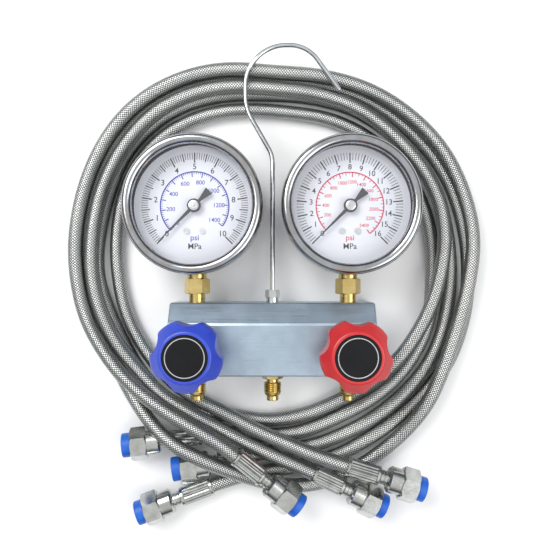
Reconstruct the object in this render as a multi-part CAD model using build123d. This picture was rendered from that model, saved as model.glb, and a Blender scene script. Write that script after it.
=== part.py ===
"""Two-valve refrigerant manifold gauge set with three braided charging hoses.

Millimetres. The origin is the centre of the manifold block's back face, which rests on
the bench at Z = 0. +Z points out of the dials, +Y runs up the block towards the hook,
and +X runs to the high-side (right) gauge.
"""
from build123d import *
from math import acos, atan2, cos, degrees, hypot, pi, radians, sin, tan
import os

# ---------------------------------------------------------------- manifold block
BLOCK_LENGTH = 128.5
BLOCK_HEIGHT = 45.0
BLOCK_DEPTH = 38.0
BLOCK_SLOPE_HEIGHT = 13.0       # upper band of the front face that leans back
BLOCK_SLOPE_DROP = 8.5          # how far it has leaned back at the top edge
BLOCK_EDGE = 0.8                # broken edges
STATION_PITCH = 48.0            # from the middle to each valve, gauge and side port
PORT_AXIS_Z = 22.0              # gauges, ports and hook share this depth
PASSAGE_RADIUS = 2.5            # drilled ways between gauge, valve and port
GALLERY_Z = 9.5                 # cross gallery behind the valve seats

# ---------------------------------------------------------------- flare ports
THREAD_RADIUS = 5.555           # 7/16-20 UNF, the thread of a 1/4 in SAE flare
THREAD_PITCH = 1.27
THREAD_DEPTH = 0.55
PORT_HEX_AF = 12.0
PORT_HEX_LENGTH = 3.4
PORT_NECK_RADIUS = 3.8
PORT_NECK_LENGTH = 2.2
PORT_THREAD_LENGTH = 7.6
PORT_NOSE_RADIUS = 3.8
PORT_NOSE_LENGTH = 4.0
PORT_SHANK_RADIUS = 4.6
PORT_SHANK_LENGTH = 9.0
PORT_BORE_RADIUS = 2.0

# ---------------------------------------------------------------- hanging hook
HOOK_WIRE_RADIUS = 1.5
HOOK_SEAT_DEPTH = 9.0
HOOK_NUT_AF = 8.0
HOOK_NUT_LENGTH = 5.0
HOOK_COLLAR_RADIUS = 4.0
HOOK_COLLAR_LENGTH = 3.0
HOOK_CORNERS = [(0, 116), (-17.3, 146), (-17.3, 186), (22, 186.5)]
HOOK_CORNER_RADII = [18, 30, 26, 22]
HOOK_TIP = (42.3, 158.3)

# ---------------------------------------------------------------- valves and knobs
VALVE_Y = -6.5                  # knob axis, in the middle of the flat front face
VALVE_BORE_RADIUS = 5.0
VALVE_SEAT_Z = 15.0
FIT_CLEARANCE = 0.05            # radial, at every turning or sliding fit
BONNET_THREAD_RADIUS = 7.0
VALVE_CHAMBER_RISE = 6.0        # from the port axis to the end of the bonnet
BONNET_HEX_AF = 17.0
BONNET_HEX_LENGTH = 6.0
BONNET_SLEEVE_RADIUS = 5.6
BONNET_SLEEVE_LENGTH = 6.0
STEM_RADIUS = 3.2
STEM_TAIL_RADIUS = 1.95         # turns in the plunger's socket
STEM_TAIL_LENGTH = 3.0
VALVE_LIFT = 2.5                # two turns of a 1.25 mm pitch thread
SEAT_PAD_RADIUS = 3.6
SEAT_PAD_THICKNESS = 2.5
PLUNGER_NECK_RADIUS = 2.4
PISTON_LENGTH = 3.7
KNOB_RADIUS = 21.0
KNOB_LOBES = 5
KNOB_SCALLOP_RADIUS = 11.0
KNOB_SCALLOP_DEPTH = 3.6
KNOB_HEIGHT = 24.0
KNOB_UNDERSIDE_GAP = 2.0        # above the bonnet's sleeve when the valve is shut
KNOB_FIRST_SCALLOP = 15.0       # degrees
KNOB_WALL = 5.0                 # from the bottom of a scallop to the hollow beneath
KNOB_HUB_RADIUS = 7.0
KNOB_SCREW_HEAD_RADIUS = 4.0
KNOB_SCREW_HEAD_HEIGHT = 2.4
KNOB_SCREW_RADIUS = 1.6
KNOB_SCREW_LENGTH = 8.0
BADGE_RADIUS = 13.0
BADGE_THICKNESS = 1.4

# ---------------------------------------------------------------- gauges
GAUGE_Y = 82.4                  # centre of both dials
CASE_RADIUS = 40.0
CASE_BACK_Z = 10.2
CASE_WALL = 1.2
CASE_RIM_Z = 41.5
CASE_EDGE = 3.0
BEZEL_OVERHANG = 2.5            # outside the case
BEZEL_BACK_Z = 34.5
BEZEL_COVER = 4.0               # how far its lip reaches inside the case radius
BEZEL_LIP_THICKNESS = 3.9
BEZEL_ROUND = 3.2               # outer front corner
GASKET_THICKNESS = 1.4
WINDOW_THICKNESS = 3.2
WINDOW_GAP = 0.3                # between the window's edge and the bezel
DIAL_GAP = 1.2                  # between the dial's edge and the case wall
DIAL_THICKNESS = 0.8
DIAL_Z = 33.0
DIAL_HOLE_RADIUS = 3.0
NEEDLE_ZERO = 225.0             # degrees, where the pointer rests
NEEDLE_LENGTH = 31.0
NEEDLE_TAIL = 13.0
NEEDLE_THICKNESS = 0.6
NEEDLE_Z = 36.4
NEEDLE_HUB_RADIUS = 4.2
NEEDLE_HUB_HEIGHT = 2.6
NEEDLE_WIDTH = 2.4              # at the hub, tapering to the tip
NEEDLE_TAIL_WIDTH = 5.4
ARBOR_RADIUS = 1.0
GEAR_MODULE = 0.4
PINION_TEETH = 10
SECTOR_TEETH = 80               # of the full wheel that the sector is cut from
PRESSURE_ANGLE = 20.0
GEAR_BACKLASH = 0.10
PINION_ADDENDUM = 0.4
SECTOR_ADDENDUM = 0.24          # short teeth, so that ten pinion teeth clear them
TOOTH_CLEARANCE = 0.12
TOOTH_STEPS = 4
GEAR_Z = 20.5
GEAR_THICKNESS = 1.6
SECTOR_AXIS_ANGLE = -60.0       # degrees, from the dial centre to the sector's pivot
SECTOR_FIRST_TOOTH = -10
SECTOR_LAST_TOOTH = 2
SECTOR_HUB_RADIUS = 2.6
SECTOR_TAIL = 7.0
LINK_PIN_RADIUS = 0.8
LINK_THICKNESS = 0.8
LINK_WIDTH = 3.0
LINK_LENGTH = 8.0
LINK_ANGLE = 60.0
LINK_CLEARANCE = 0.3
FRAME_PLATE = 1.5
FRAME_BACK_Z = 16.1
FRAME_FRONT_Z = 26.0
FRAME_OUTLINE = [(-9.5, -31), (9.5, -31), (16, -22), (16.5, -7), (5, 5), (-5, 8), (-11, 2),
                 (-12, -20)]
FRAME_PILLARS = [(-9.4, -18.0), (13.6, -8.6), (-6.5, 3.6)]
FRAME_PILLAR_RADIUS = 1.4
DIAL_POST_OFFSET = (4.8, -15.4)
DIAL_POST_RADIUS = 2.2
DIAL_SCREW_RADIUS = 1.2
DIAL_SCREW_LENGTH = 4.0
DIAL_SCREW_HEAD_RADIUS = 1.9
DIAL_SCREW_HEAD_HEIGHT = 0.9
BOURDON_RADIUS = 26.0
BOURDON_HEIGHT = 8.0
BOURDON_WIDTH = 3.0
BOURDON_WALL = 0.4
BOURDON_BACK_Z = 17.8
BOURDON_START = -104.0
BOURDON_END = -380.0
SOCKET_BLOCK_WIDTH = 13.0
SOCKET_BORE_RADIUS = 1.2
SOCKET_BLOCK_CLEARANCE = 0.8    # between its foot and the case wall
SOCKET_BLOCK_TOP = -20.0        # below the dial centre
SOCKET_NECK_RADIUS = 6.0
SOCKET_HEX_AF = 14.0
SOCKET_HEX_LENGTH = 10.0
SOCKET_THREAD_RADIUS = 5.15     # 1/8-27 NPT
SOCKET_THREAD_DEPTH = 8.0       # inside the block
SOCKET_NECK_LENGTH = 4.6
FILL_PLUG_RADIUS = 4.0
FILL_PLUG_HEIGHT = 1.8
FILL_PLUG_PLACE = (0, 22)       # on the case back, from the dial centre

# ---------------------------------------------------------------- hose end fittings
FERRULE_RADIUS = 6.0
FERRULE_LENGTH = 21.5
FERRULE_CRIMP_ACROSS = 11.0
FERRULE_CRIMP_SIDES = 8
FERRULE_BAND = 2.2              # uncrimped ring left at the hose end
NECK_LENGTH = 5.5
NECK_RADIUS = 3.6
NECK_RING_RADIUS = 4.4
NECK_RING_WIDTH = 1.6
TAIL_RADIUS = 3.0               # of the stem inside the ferrule
FITTING_BORE_RADIUS = 1.6
NUT_COLLAR_RADIUS = 8.25
NUT_COLLAR_LENGTH = 8.5
NUT_AF = 19.0
NUT_HEX_LENGTH = 10.5
NUT_REAR_LIP = 4.0
NUT_BORE_RADIUS = 5.6           # clears the 7/16-20 thread
SHOULDER_RADIUS = 5.3
SHOULDER_LENGTH = 2.7
NOSE_LENGTH = 2.5
CAP_RADIUS = 7.75
CAP_LENGTH = 5.5
CAP_PLUG_LENGTH = 7.5
CAP_DISH = 1.2
END_FLOAT = 0.25                # axial play of the swivel nut

# ---------------------------------------------------------------- hoses
HOSE_RADIUS = 4.6
HOSE_RUN_SHARE = 0.45           # of the shorter run, taken by each arc's tangent
HOSE_1 = [
    (-47, -66, 7.2), (-27, -64, 4.8), (-3, -67, 4.8), (21, -64, 4.8), (44, -54, 4.8), (65, -43, 4.8),
    (82, -29, 4.8), (96, -10, 4.8), (104, 10, 4.8), (106, 33, 4.8), (106, 57, 4.8), (103, 77, 4.8),
    (96, 95, 4.8), (83, 114, 4.8), (65, 131, 4.8), (39, 144, 4.8), (11, 148, 4.8), (-15, 150, 4.8),
    (-40, 148, 4.8), (-65, 138, 4.8), (-84, 122, 4.8), (-96, 102, 4.8), (-102, 80, 4.8),
    (-104, 57, 4.8), (-102, 34, 4.8), (-97, 13, 4.8), (-87, -6, 5.5), (-75, -21, 9), (-62, -33, 11),
    (-48, -42, 11), (-30, -50, 14.5), (-9, -61, 17), (12, -69, 20.5), (29, -75.5, 23.7), (47, -81, 24)
]
HOSE_2 = [
    (-15, -79, 7.2), (5, -76, 4.8), (25, -74, 4.8), (46, -66, 4.8), (67, -55, 4.8), (86, -40, 4.8),
    (102, -22, 4.8), (112, -1, 4.8), (117, 23, 4.8), (118, 49, 4.8), (115, 73, 4.8), (109, 96, 4.8),
    (96, 117, 4.8), (77, 136, 4.8), (53, 151, 4.8), (26, 158, 4.8), (-3, 160, 4.8), (-32, 160, 4.8),
    (-60, 153, 4.8), (-83, 138, 4.8), (-100, 118, 4.8), (-110, 92, 4.8), (-116, 65, 4.8),
    (-117, 41, 4.8), (-110, 18, 4.8), (-99, -6, 4.8), (-87, -26, 4.8), (-72, -42, 4.8),
    (-51, -51, 4.8), (-27, -53, 4.8), (-3, -57, 4.8), (21, -53, 4.8), (45, -43, 4.8), (65, -30, 10),
    (81, -16, 14.7), (94, 2, 14.7), (104, 22, 14.7), (110, 46, 14.7), (112, 65, 14.7), (109, 87, 14.7),
    (98, 109, 14.7), (79, 131, 14.7), (55, 149, 14.7), (29, 158, 14.7), (0, 161, 14.7),
    (-29, 163, 14.7), (-56, 157, 14.7), (-79, 144, 14.7), (-98, 122, 14.7), (-111, 96, 14.7),
    (-117, 68, 14.7), (-118, 44, 14.7), (-113, 18, 14.7), (-101, -5, 14.7), (-87, -22, 14.7),
    (-74, -37, 14.7), (-57, -48, 14.7), (-39, -57, 15.5), (-20, -67, 17), (0, -76, 18.6),
    (14.5, -82, 18.6), (26, -87.5, 18.3)
]
HOSE_3 = [
    (-40, -99, 7.2), (-22, -93, 4.8), (-1, -90, 4.8), (21, -86, 4.8), (43, -80, 4.8), (63, -69, 4.8),
    (84, -55, 4.8), (102, -38, 4.8), (116, -19, 4.8), (124, 1, 4.8), (129, 23, 4.8), (130, 49, 4.8),
    (127, 73, 4.8), (119, 99, 4.8), (105, 122, 4.8), (84, 143, 4.8), (59, 159, 4.8), (30, 167, 4.8),
    (-2, 170, 4.8), (-34, 170, 4.8), (-63, 163, 4.8), (-88, 148, 4.8), (-107, 125, 4.8),
    (-119, 98, 4.8), (-125, 70, 4.8), (-127, 42, 4.8), (-120, 15, 4.8), (-108, -10, 4.8),
    (-97, -32, 7), (-82, -52, 16), (-65, -67, 24.2), (-45, -77, 26), (-26, -86, 20.5), (-5, -95, 13.6),
    (17, -100, 6.5), (40, -96, 4.8), (63, -84, 4.8), (84, -66, 9.5), (101, -44, 14.7),
    (112, -18, 14.7), (121, 9, 14.7), (128, 37, 14.7), (131, 64, 14.7), (125, 92, 14.7),
    (112, 120, 14.7), (92, 142, 14.7), (65, 160, 14.7), (34, 169, 15.3), (2, 171, 15.6),
    (-30, 174, 15.4), (-60, 168, 14.7), (-87, 153, 14.7), (-107, 131, 14.7), (-121, 102, 14.7),
    (-128, 70, 14.7), (-128, 42, 14.7), (-122, 13, 15), (-108, -11, 18), (-91, -30, 22),
    (-70, -45, 25.5), (-47, -58, 28), (-33, -66, 28.3), (-23, -74, 28)
]
HOSES = {"hose_1": (HOSE_1, 1, 6), "hose_2": (HOSE_2, 2, 5), "hose_3": (HOSE_3, 3, 4)}

# ---------------------------------------------------------------- sizes that follow
STATIONS = {"left": -STATION_PITCH, "right": STATION_PITCH}
BLOCK_TOP = BLOCK_HEIGHT / 2
BLOCK_FLAT_EDGE = BLOCK_TOP - BLOCK_SLOPE_HEIGHT
VALVE_CHAMBER_TOP = PORT_AXIS_Z + VALVE_CHAMBER_RISE
BONNET_DEPTH = BLOCK_DEPTH - VALVE_CHAMBER_TOP
PISTON_BASE = VALVE_CHAMBER_TOP + 0.5 - PISTON_LENGTH
PISTON_TOP = PISTON_BASE + PISTON_LENGTH
BONNET_TOP = BLOCK_DEPTH + BONNET_HEX_LENGTH + BONNET_SLEEVE_LENGTH
KNOB_BASE = BONNET_TOP + KNOB_UNDERSIDE_GAP
KNOB_TOP = KNOB_BASE + KNOB_HEIGHT
BADGE_SEAT = KNOB_TOP - BADGE_THICKNESS
KNOB_SCREW_SEAT = BADGE_SEAT - KNOB_SCREW_HEAD_HEIGHT - 1.0
STEM_TOP = KNOB_SCREW_SEAT - 3.0
SOCKET_DROP = GAUGE_Y - BLOCK_TOP           # from the dial centre to the top of the block
SOCKET_HEX_TOP = -CASE_RADIUS - SOCKET_NECK_LENGTH
CASE_INNER_RADIUS = CASE_RADIUS - CASE_WALL
BEZEL_RADIUS = CASE_RADIUS + BEZEL_OVERHANG
BEZEL_LIP_RADIUS = CASE_RADIUS - BEZEL_COVER
DIAL_RADIUS = CASE_INNER_RADIUS - DIAL_GAP
WINDOW_Z = CASE_RIM_Z + GASKET_THICKNESS
BEZEL_SEAT_Z = WINDOW_Z + WINDOW_THICKNESS
BEZEL_FRONT_Z = BEZEL_SEAT_Z + BEZEL_LIP_THICKNESS
PINION_PITCH_RADIUS = GEAR_MODULE * PINION_TEETH / 2
SECTOR_PITCH_RADIUS = GEAR_MODULE * SECTOR_TEETH / 2
GEAR_CENTRES = PINION_PITCH_RADIUS + SECTOR_PITCH_RADIUS
TAIL_DISTANCE = GEAR_CENTRES + SECTOR_TAIL
FRAME_BACK_TOP = FRAME_BACK_Z + FRAME_PLATE
FRAME_FRONT_TOP = FRAME_FRONT_Z + FRAME_PLATE
LINK_Z = GEAR_Z - LINK_CLEARANCE - LINK_THICKNESS
NECK_END = FERRULE_LENGTH + NECK_LENGTH
NUT_HEX_START = NECK_END + NUT_COLLAR_LENGTH
NUT_END = NUT_HEX_START + NUT_HEX_LENGTH
SHOULDER_START = NECK_END + NUT_REAR_LIP + END_FLOAT
SHOULDER_END = SHOULDER_START + SHOULDER_LENGTH
CAP_END = NUT_END + CAP_LENGTH
STANDING = (Align.CENTER, Align.CENTER, Align.MIN)


# ---------------------------------------------------------------- shared shapes
def rod(radius, length, x=0, y=0, z=0):
    """An upright cylinder whose lower end is at the given point."""
    return Pos(x, y, z) * Cylinder(radius, length, align=STANDING)


def polar(distance, angle):
    """The point at a distance and an angle in degrees from the origin."""
    return distance * cos(radians(angle)), distance * sin(radians(angle))


def turned(points, rounds=None):
    """A solid of revolution about Z from (radius, height) corners, some of them rounded."""
    outline = make_face(Polyline(*points, close=True))
    for index, radius in (rounds or {}).items():
        corner = outline.vertices().sort_by_distance((*points[index], 0))[0]
        outline = fillet(corner, radius)
    return revolve(Plane.XZ * outline, Axis.Z)


def hexagon(across_flats, length, z=0):
    """An upright hexagon bar with its corners chamfered at both ends."""
    corner = across_flats / 2 / cos(radians(30))
    flat = across_flats / 2 * 0.985
    rise = (corner - flat) * tan(radians(30))
    bar = Pos(0, 0, z) * extrude(RegularPolygon(across_flats / 2, 6, major_radius=False), length)
    return bar & turned([(0, z), (flat, z), (corner, z + rise), (corner, z + length - rise),
                         (flat, z + length), (0, z + length)])


def strip(start, end, width, thickness, z):
    """A flat strip with round ends from one point to another."""
    run = hypot(end[0] - start[0], end[1] - start[1])
    turn = degrees(atan2(end[1] - start[1], end[0] - start[0]))
    outline = Pos(run / 2, 0) * Rectangle(run, width) + Circle(width / 2)
    outline += Pos(run, 0) * Circle(width / 2)
    return Pos(*start, z) * Rot(0, 0, turn) * extrude(outline, thickness)


def write(name, shape):
    """Write one node's STEP file."""
    export_step(shape, f"parts/{name}.step")


# ---------------------------------------------------------------- manifold block
def along_y(x, y, towards):
    """A frame at the port axis whose Z runs up (+1) or down (-1) the block."""
    return Location((x, y, PORT_AXIS_Z), (-90 * towards, 0, 0))


def block_body():
    """The bar with its leaning upper front band and broken edges."""
    outline = Polyline((-BLOCK_TOP, 0), (BLOCK_TOP, 0), (BLOCK_TOP, BLOCK_DEPTH - BLOCK_SLOPE_DROP),
                       (BLOCK_FLAT_EDGE, BLOCK_DEPTH), (-BLOCK_TOP, BLOCK_DEPTH), close=True)
    bar = extrude(Plane.YZ * make_face(outline), BLOCK_LENGTH / 2, both=True)
    return chamfer(bar.edges(), BLOCK_EDGE)


def manifold_block():
    """The block with its seats for gauges, ports, valves and hook, and its drilled ways."""
    block = block_body()
    for x in (-STATION_PITCH, 0, STATION_PITCH):
        block -= along_y(x, -BLOCK_TOP, 1) * rod(PORT_SHANK_RADIUS, PORT_SHANK_LENGTH)
    for x in STATIONS.values():
        block -= along_y(x, BLOCK_TOP, -1) * rod(SOCKET_THREAD_RADIUS, SOCKET_THREAD_DEPTH)
        block -= along_y(x, -BLOCK_TOP, 1) * rod(PASSAGE_RADIUS, BLOCK_HEIGHT)
        block -= rod(BONNET_THREAD_RADIUS, BONNET_DEPTH, x, VALVE_Y, VALVE_CHAMBER_TOP)
        block -= rod(VALVE_BORE_RADIUS, VALVE_CHAMBER_TOP - VALVE_SEAT_Z, x, VALVE_Y, VALVE_SEAT_Z)
        block -= rod(PASSAGE_RADIUS, VALVE_SEAT_Z - GALLERY_Z, x, VALVE_Y, GALLERY_Z)
    gallery = Location((-STATION_PITCH, VALVE_Y, GALLERY_Z), (0, 90, 0))
    block -= gallery * rod(PASSAGE_RADIUS, 2 * STATION_PITCH)
    block -= rod(PASSAGE_RADIUS, PORT_AXIS_Z - GALLERY_Z, 0, VALVE_Y, GALLERY_Z)
    block -= along_y(0, -BLOCK_TOP, 1) * rod(PASSAGE_RADIUS, BLOCK_TOP + VALVE_Y + PASSAGE_RADIUS)
    return block - along_y(0, BLOCK_TOP, -1) * rod(HOOK_WIRE_RADIUS, HOOK_SEAT_DEPTH)


# ---------------------------------------------------------------- ports and hook
def thread_profile(radius, start, length):
    """Corners of a screw thread drawn as rings, from the root outwards along the axis."""
    corners = []
    for ring in range(int(length / THREAD_PITCH)):
        z = start + ring * THREAD_PITCH
        corners += [(radius - THREAD_DEPTH, z), (radius, z + THREAD_PITCH * 0.4),
                    (radius, z + THREAD_PITCH * 0.6)]
    return corners + [(radius - THREAD_DEPTH, start + length)]


def flare_port():
    """A male flare connector: shank, hexagon, neck, thread and nose, pointing up Z."""
    thread = PORT_HEX_LENGTH + PORT_NECK_LENGTH
    nose = thread + PORT_THREAD_LENGTH
    tip = nose + PORT_NOSE_LENGTH
    cone = THREAD_RADIUS - THREAD_DEPTH - PORT_NOSE_RADIUS
    body = turned([(0, PORT_HEX_LENGTH), (PORT_NECK_RADIUS, PORT_HEX_LENGTH), (PORT_NECK_RADIUS, thread)]
                  + thread_profile(THREAD_RADIUS, thread, PORT_THREAD_LENGTH)
                  + [(PORT_NOSE_RADIUS, nose + cone), (PORT_NOSE_RADIUS, tip - 0.4),
                     (PORT_NOSE_RADIUS - 0.4, tip), (0, tip)])
    body += hexagon(PORT_HEX_AF, PORT_HEX_LENGTH)
    body += rod(PORT_SHANK_RADIUS, PORT_SHANK_LENGTH, z=-PORT_SHANK_LENGTH)
    return body - rod(PORT_BORE_RADIUS, PORT_SHANK_LENGTH + tip, z=-PORT_SHANK_LENGTH)


def hook():
    """The hanging hook, bent from one wire in the plane of the port axis."""
    corners = [(0, BLOCK_TOP - HOOK_SEAT_DEPTH)] + HOOK_CORNERS + [HOOK_TIP]
    line = FilletPolyline(*[(x, y, PORT_AXIS_Z) for x, y in corners], radius=HOOK_CORNER_RADII)
    wire = sweep(Plane(line @ 0, z_dir=line % 0) * Circle(HOOK_WIRE_RADIUS), line)
    return wire + Pos(*HOOK_TIP, PORT_AXIS_Z) * Sphere(HOOK_WIRE_RADIUS)


def hook_nut():
    """The collar nut that locks the hook into the top of the block."""
    nut = rod(HOOK_COLLAR_RADIUS, HOOK_COLLAR_LENGTH)
    nut += hexagon(HOOK_NUT_AF, HOOK_NUT_LENGTH, HOOK_COLLAR_LENGTH)
    return nut - rod(HOOK_WIRE_RADIUS, HOOK_COLLAR_LENGTH + HOOK_NUT_LENGTH)


# ---------------------------------------------------------------- valves and knobs
def bonnet():
    """The packing nut: spigot in the block, hexagon, sleeve and the room for the piston."""
    body = rod(BONNET_THREAD_RADIUS, BONNET_DEPTH, z=VALVE_CHAMBER_TOP)
    body += hexagon(BONNET_HEX_AF, BONNET_HEX_LENGTH, BLOCK_DEPTH)
    body += rod(BONNET_SLEEVE_RADIUS, BONNET_SLEEVE_LENGTH, z=BLOCK_DEPTH + BONNET_HEX_LENGTH)
    room = PISTON_TOP + VALVE_LIFT + 0.5 - VALVE_CHAMBER_TOP
    body -= rod(VALVE_BORE_RADIUS, room, z=VALVE_CHAMBER_TOP)
    return body - rod(STEM_RADIUS + FIT_CLEARANCE, BONNET_TOP - VALVE_CHAMBER_TOP, z=VALVE_CHAMBER_TOP)


def plunger():
    """The sliding plunger: pad on the seat, neck in the way through, piston and stem socket."""
    pad_top = VALVE_SEAT_Z + SEAT_PAD_THICKNESS
    body = rod(SEAT_PAD_RADIUS, SEAT_PAD_THICKNESS, z=VALVE_SEAT_Z)
    body += rod(PLUNGER_NECK_RADIUS, PISTON_BASE - pad_top, z=pad_top)
    body += rod(VALVE_BORE_RADIUS - FIT_CLEARANCE, PISTON_LENGTH, z=PISTON_BASE)
    depth = STEM_TAIL_LENGTH + FIT_CLEARANCE
    return body - rod(STEM_TAIL_RADIUS + FIT_CLEARANCE, depth, z=PISTON_TOP - depth)


def stem():
    """The valve stem, from its tail in the plunger to its tapped end in the knob."""
    body = rod(STEM_TAIL_RADIUS, STEM_TAIL_LENGTH, z=PISTON_TOP - STEM_TAIL_LENGTH)
    body += rod(STEM_RADIUS, STEM_TOP - PISTON_TOP, z=PISTON_TOP)
    tapped = KNOB_SCREW_LENGTH - (KNOB_SCREW_SEAT - STEM_TOP)
    return body - rod(KNOB_SCREW_RADIUS, tapped, z=STEM_TOP - tapped)


def knob_outline():
    """The lobed outline: a disc with a round scallop between each pair of lobes."""
    outline = Circle(KNOB_RADIUS)
    reach = KNOB_RADIUS + KNOB_SCALLOP_RADIUS - KNOB_SCALLOP_DEPTH
    for lobe in range(KNOB_LOBES):
        angle = KNOB_FIRST_SCALLOP + lobe * 360 / KNOB_LOBES
        outline -= Rot(0, 0, angle) * Pos(reach, 0) * Circle(KNOB_SCALLOP_RADIUS)
    return fillet(outline.vertices(), 2.5)


def knob():
    """The knob: crowned lobed grip, hollow below, with a hub on the stem."""
    z, top, rim = KNOB_BASE, KNOB_TOP, KNOB_RADIUS
    crown = turned([(0, z), (rim - 5.0, z), (rim, z + 9), (rim, top - 6.5), (rim - 6.5, top), (0, top)],
                   {1: 2.0, 2: 6.0, 3: 5.0, 4: 2.0})
    grip = Pos(0, 0, z) * extrude(knob_outline(), KNOB_HEIGHT) & crown
    inner = rim - KNOB_SCALLOP_DEPTH - KNOB_WALL
    depth = STEM_TOP - z - 2.0
    grip -= rod(inner, depth, z=z) - rod(KNOB_HUB_RADIUS, depth, z=z)
    grip -= rod(STEM_RADIUS, STEM_TOP - z, z=z)
    grip -= rod(KNOB_SCREW_RADIUS, KNOB_HEIGHT, z=z)
    grip -= rod(KNOB_SCREW_HEAD_RADIUS + FIT_CLEARANCE, top - KNOB_SCREW_SEAT, z=KNOB_SCREW_SEAT)
    return grip - rod(BADGE_RADIUS, BADGE_THICKNESS, z=BADGE_SEAT)


def knob_screw():
    """The screw under the badge that holds the knob on the stem."""
    screw = rod(KNOB_SCREW_HEAD_RADIUS, KNOB_SCREW_HEAD_HEIGHT, z=KNOB_SCREW_SEAT)
    screw += rod(KNOB_SCREW_RADIUS, KNOB_SCREW_LENGTH, z=KNOB_SCREW_SEAT - KNOB_SCREW_LENGTH)
    slot = Pos(0, 0, KNOB_SCREW_SEAT + KNOB_SCREW_HEAD_HEIGHT) * Box(KNOB_SCREW_HEAD_RADIUS * 2, 1.0, 1.6)
    return screw - slot


def badge():
    """The round disc let into the top of the knob."""
    return turned([(0, BADGE_SEAT), (BADGE_RADIUS, BADGE_SEAT), (BADGE_RADIUS, KNOB_TOP - 0.3),
                   (BADGE_RADIUS - 0.3, KNOB_TOP), (0, KNOB_TOP)])


def write_manifold():
    """Write the block, ports, hook and both valves."""
    write("manifold_block", manifold_block())
    port = flare_port()
    for name, x in (("left", -STATION_PITCH), ("centre", 0), ("right", STATION_PITCH)):
        write(f"{name}_port", along_y(x, -BLOCK_TOP, -1) * port)
    write("hook", hook())
    write("hook_nut", along_y(0, BLOCK_TOP, 1) * hook_nut())
    pieces = {"bonnet": bonnet(), "plunger": plunger(), "stem": stem(), "knob": knob(),
              "knob_screw": knob_screw(), "badge": badge()}
    for side, x in STATIONS.items():
        for name, piece in pieces.items():
            write(f"{side}_{name}", Pos(x, VALVE_Y, 0) * piece)


# ---------------------------------------------------------------- gauge shells
def case():
    """The round steel cup, with the hole for the socket's neck and the one for its fill plug."""
    cup = turned([(0, CASE_BACK_Z), (CASE_RADIUS, CASE_BACK_Z), (CASE_RADIUS, CASE_RIM_Z),
                  (CASE_INNER_RADIUS, CASE_RIM_Z), (CASE_INNER_RADIUS, CASE_BACK_Z + CASE_WALL),
                  (0, CASE_BACK_Z + CASE_WALL)], {1: CASE_EDGE, 4: CASE_EDGE - CASE_WALL})
    cup -= rod(FILL_PLUG_RADIUS, CASE_WALL, *FILL_PLUG_PLACE, CASE_BACK_Z)
    return cup - neck_axis(0) * rod(SOCKET_NECK_RADIUS, CASE_RADIUS)


def neck_axis(y):
    """A frame on the socket's axis whose Z runs down, away from the dial."""
    return Location((0, y, PORT_AXIS_Z), (90, 0, 0))


def bezel():
    """The rolled ring round the case, with the lip that holds the window down."""
    return turned([(CASE_RADIUS, BEZEL_BACK_Z), (BEZEL_RADIUS, BEZEL_BACK_Z),
                   (BEZEL_RADIUS, BEZEL_FRONT_Z), (BEZEL_LIP_RADIUS + 1.5, BEZEL_FRONT_Z),
                   (BEZEL_LIP_RADIUS, BEZEL_SEAT_Z + 1.2), (BEZEL_LIP_RADIUS, BEZEL_SEAT_Z),
                   (CASE_RADIUS, BEZEL_SEAT_Z)], {2: BEZEL_ROUND, 3: 1.0, 1: 0.8})


def ring(outer, inner, thickness, z):
    """A flat ring."""
    return rod(outer, thickness, z=z) - rod(inner, thickness, z=z)


def dial():
    """The dial plate, with its middle hole and the two screw holes."""
    plate = ring(DIAL_RADIUS, DIAL_HOLE_RADIUS, DIAL_THICKNESS, DIAL_Z)
    for x, y in dial_posts():
        plate -= rod(DIAL_SCREW_RADIUS, DIAL_THICKNESS, x, y, DIAL_Z)
    return plate


def dial_posts():
    """Centres of the two posts that carry the dial."""
    return [(side * DIAL_POST_OFFSET[0], DIAL_POST_OFFSET[1]) for side in (-1, 1)]


def dial_screw(x, y):
    """A slotted cheese-head screw from the dial into its post."""
    top = DIAL_Z + DIAL_THICKNESS
    screw = rod(DIAL_SCREW_HEAD_RADIUS, DIAL_SCREW_HEAD_HEIGHT, x, y, top)
    screw += rod(DIAL_SCREW_RADIUS, DIAL_SCREW_LENGTH, x, y, top - DIAL_SCREW_LENGTH)
    return screw - Pos(x, y, top + DIAL_SCREW_HEAD_HEIGHT) * Box(DIAL_SCREW_HEAD_RADIUS * 2, 0.5, 0.8)


# ---------------------------------------------------------------- gauge movement
def socket():
    """The brass socket: thread, hexagon, neck and the block that the tube is brazed into."""
    axis = neck_axis(0)
    foot = CASE_INNER_RADIUS - SOCKET_BLOCK_CLEARANCE
    height = foot + SOCKET_BLOCK_TOP
    body = Pos(0, SOCKET_BLOCK_TOP - height / 2, (FRAME_BACK_TOP + FRAME_FRONT_Z) / 2) * Box(
        SOCKET_BLOCK_WIDTH, height, FRAME_FRONT_Z - FRAME_BACK_TOP)
    body += axis * rod(SOCKET_NECK_RADIUS, -SOCKET_HEX_TOP - foot, z=foot)
    body += axis * hexagon(SOCKET_HEX_AF, SOCKET_HEX_LENGTH, -SOCKET_HEX_TOP)
    thread = -SOCKET_HEX_TOP + SOCKET_HEX_LENGTH
    body += axis * rod(SOCKET_THREAD_RADIUS, SOCKET_DROP + SOCKET_THREAD_DEPTH - thread, z=thread)
    inlet = BOURDON_RADIUS * sin(radians(-BOURDON_START))
    body -= axis * rod(SOCKET_BORE_RADIUS, SOCKET_DROP + SOCKET_THREAD_DEPTH - inlet, z=inlet)
    cross = Location((0, -inlet, PORT_AXIS_Z), (0, -90, 0))
    return body - cross * rod(SOCKET_BORE_RADIUS, SOCKET_BLOCK_WIDTH / 2)


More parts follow.
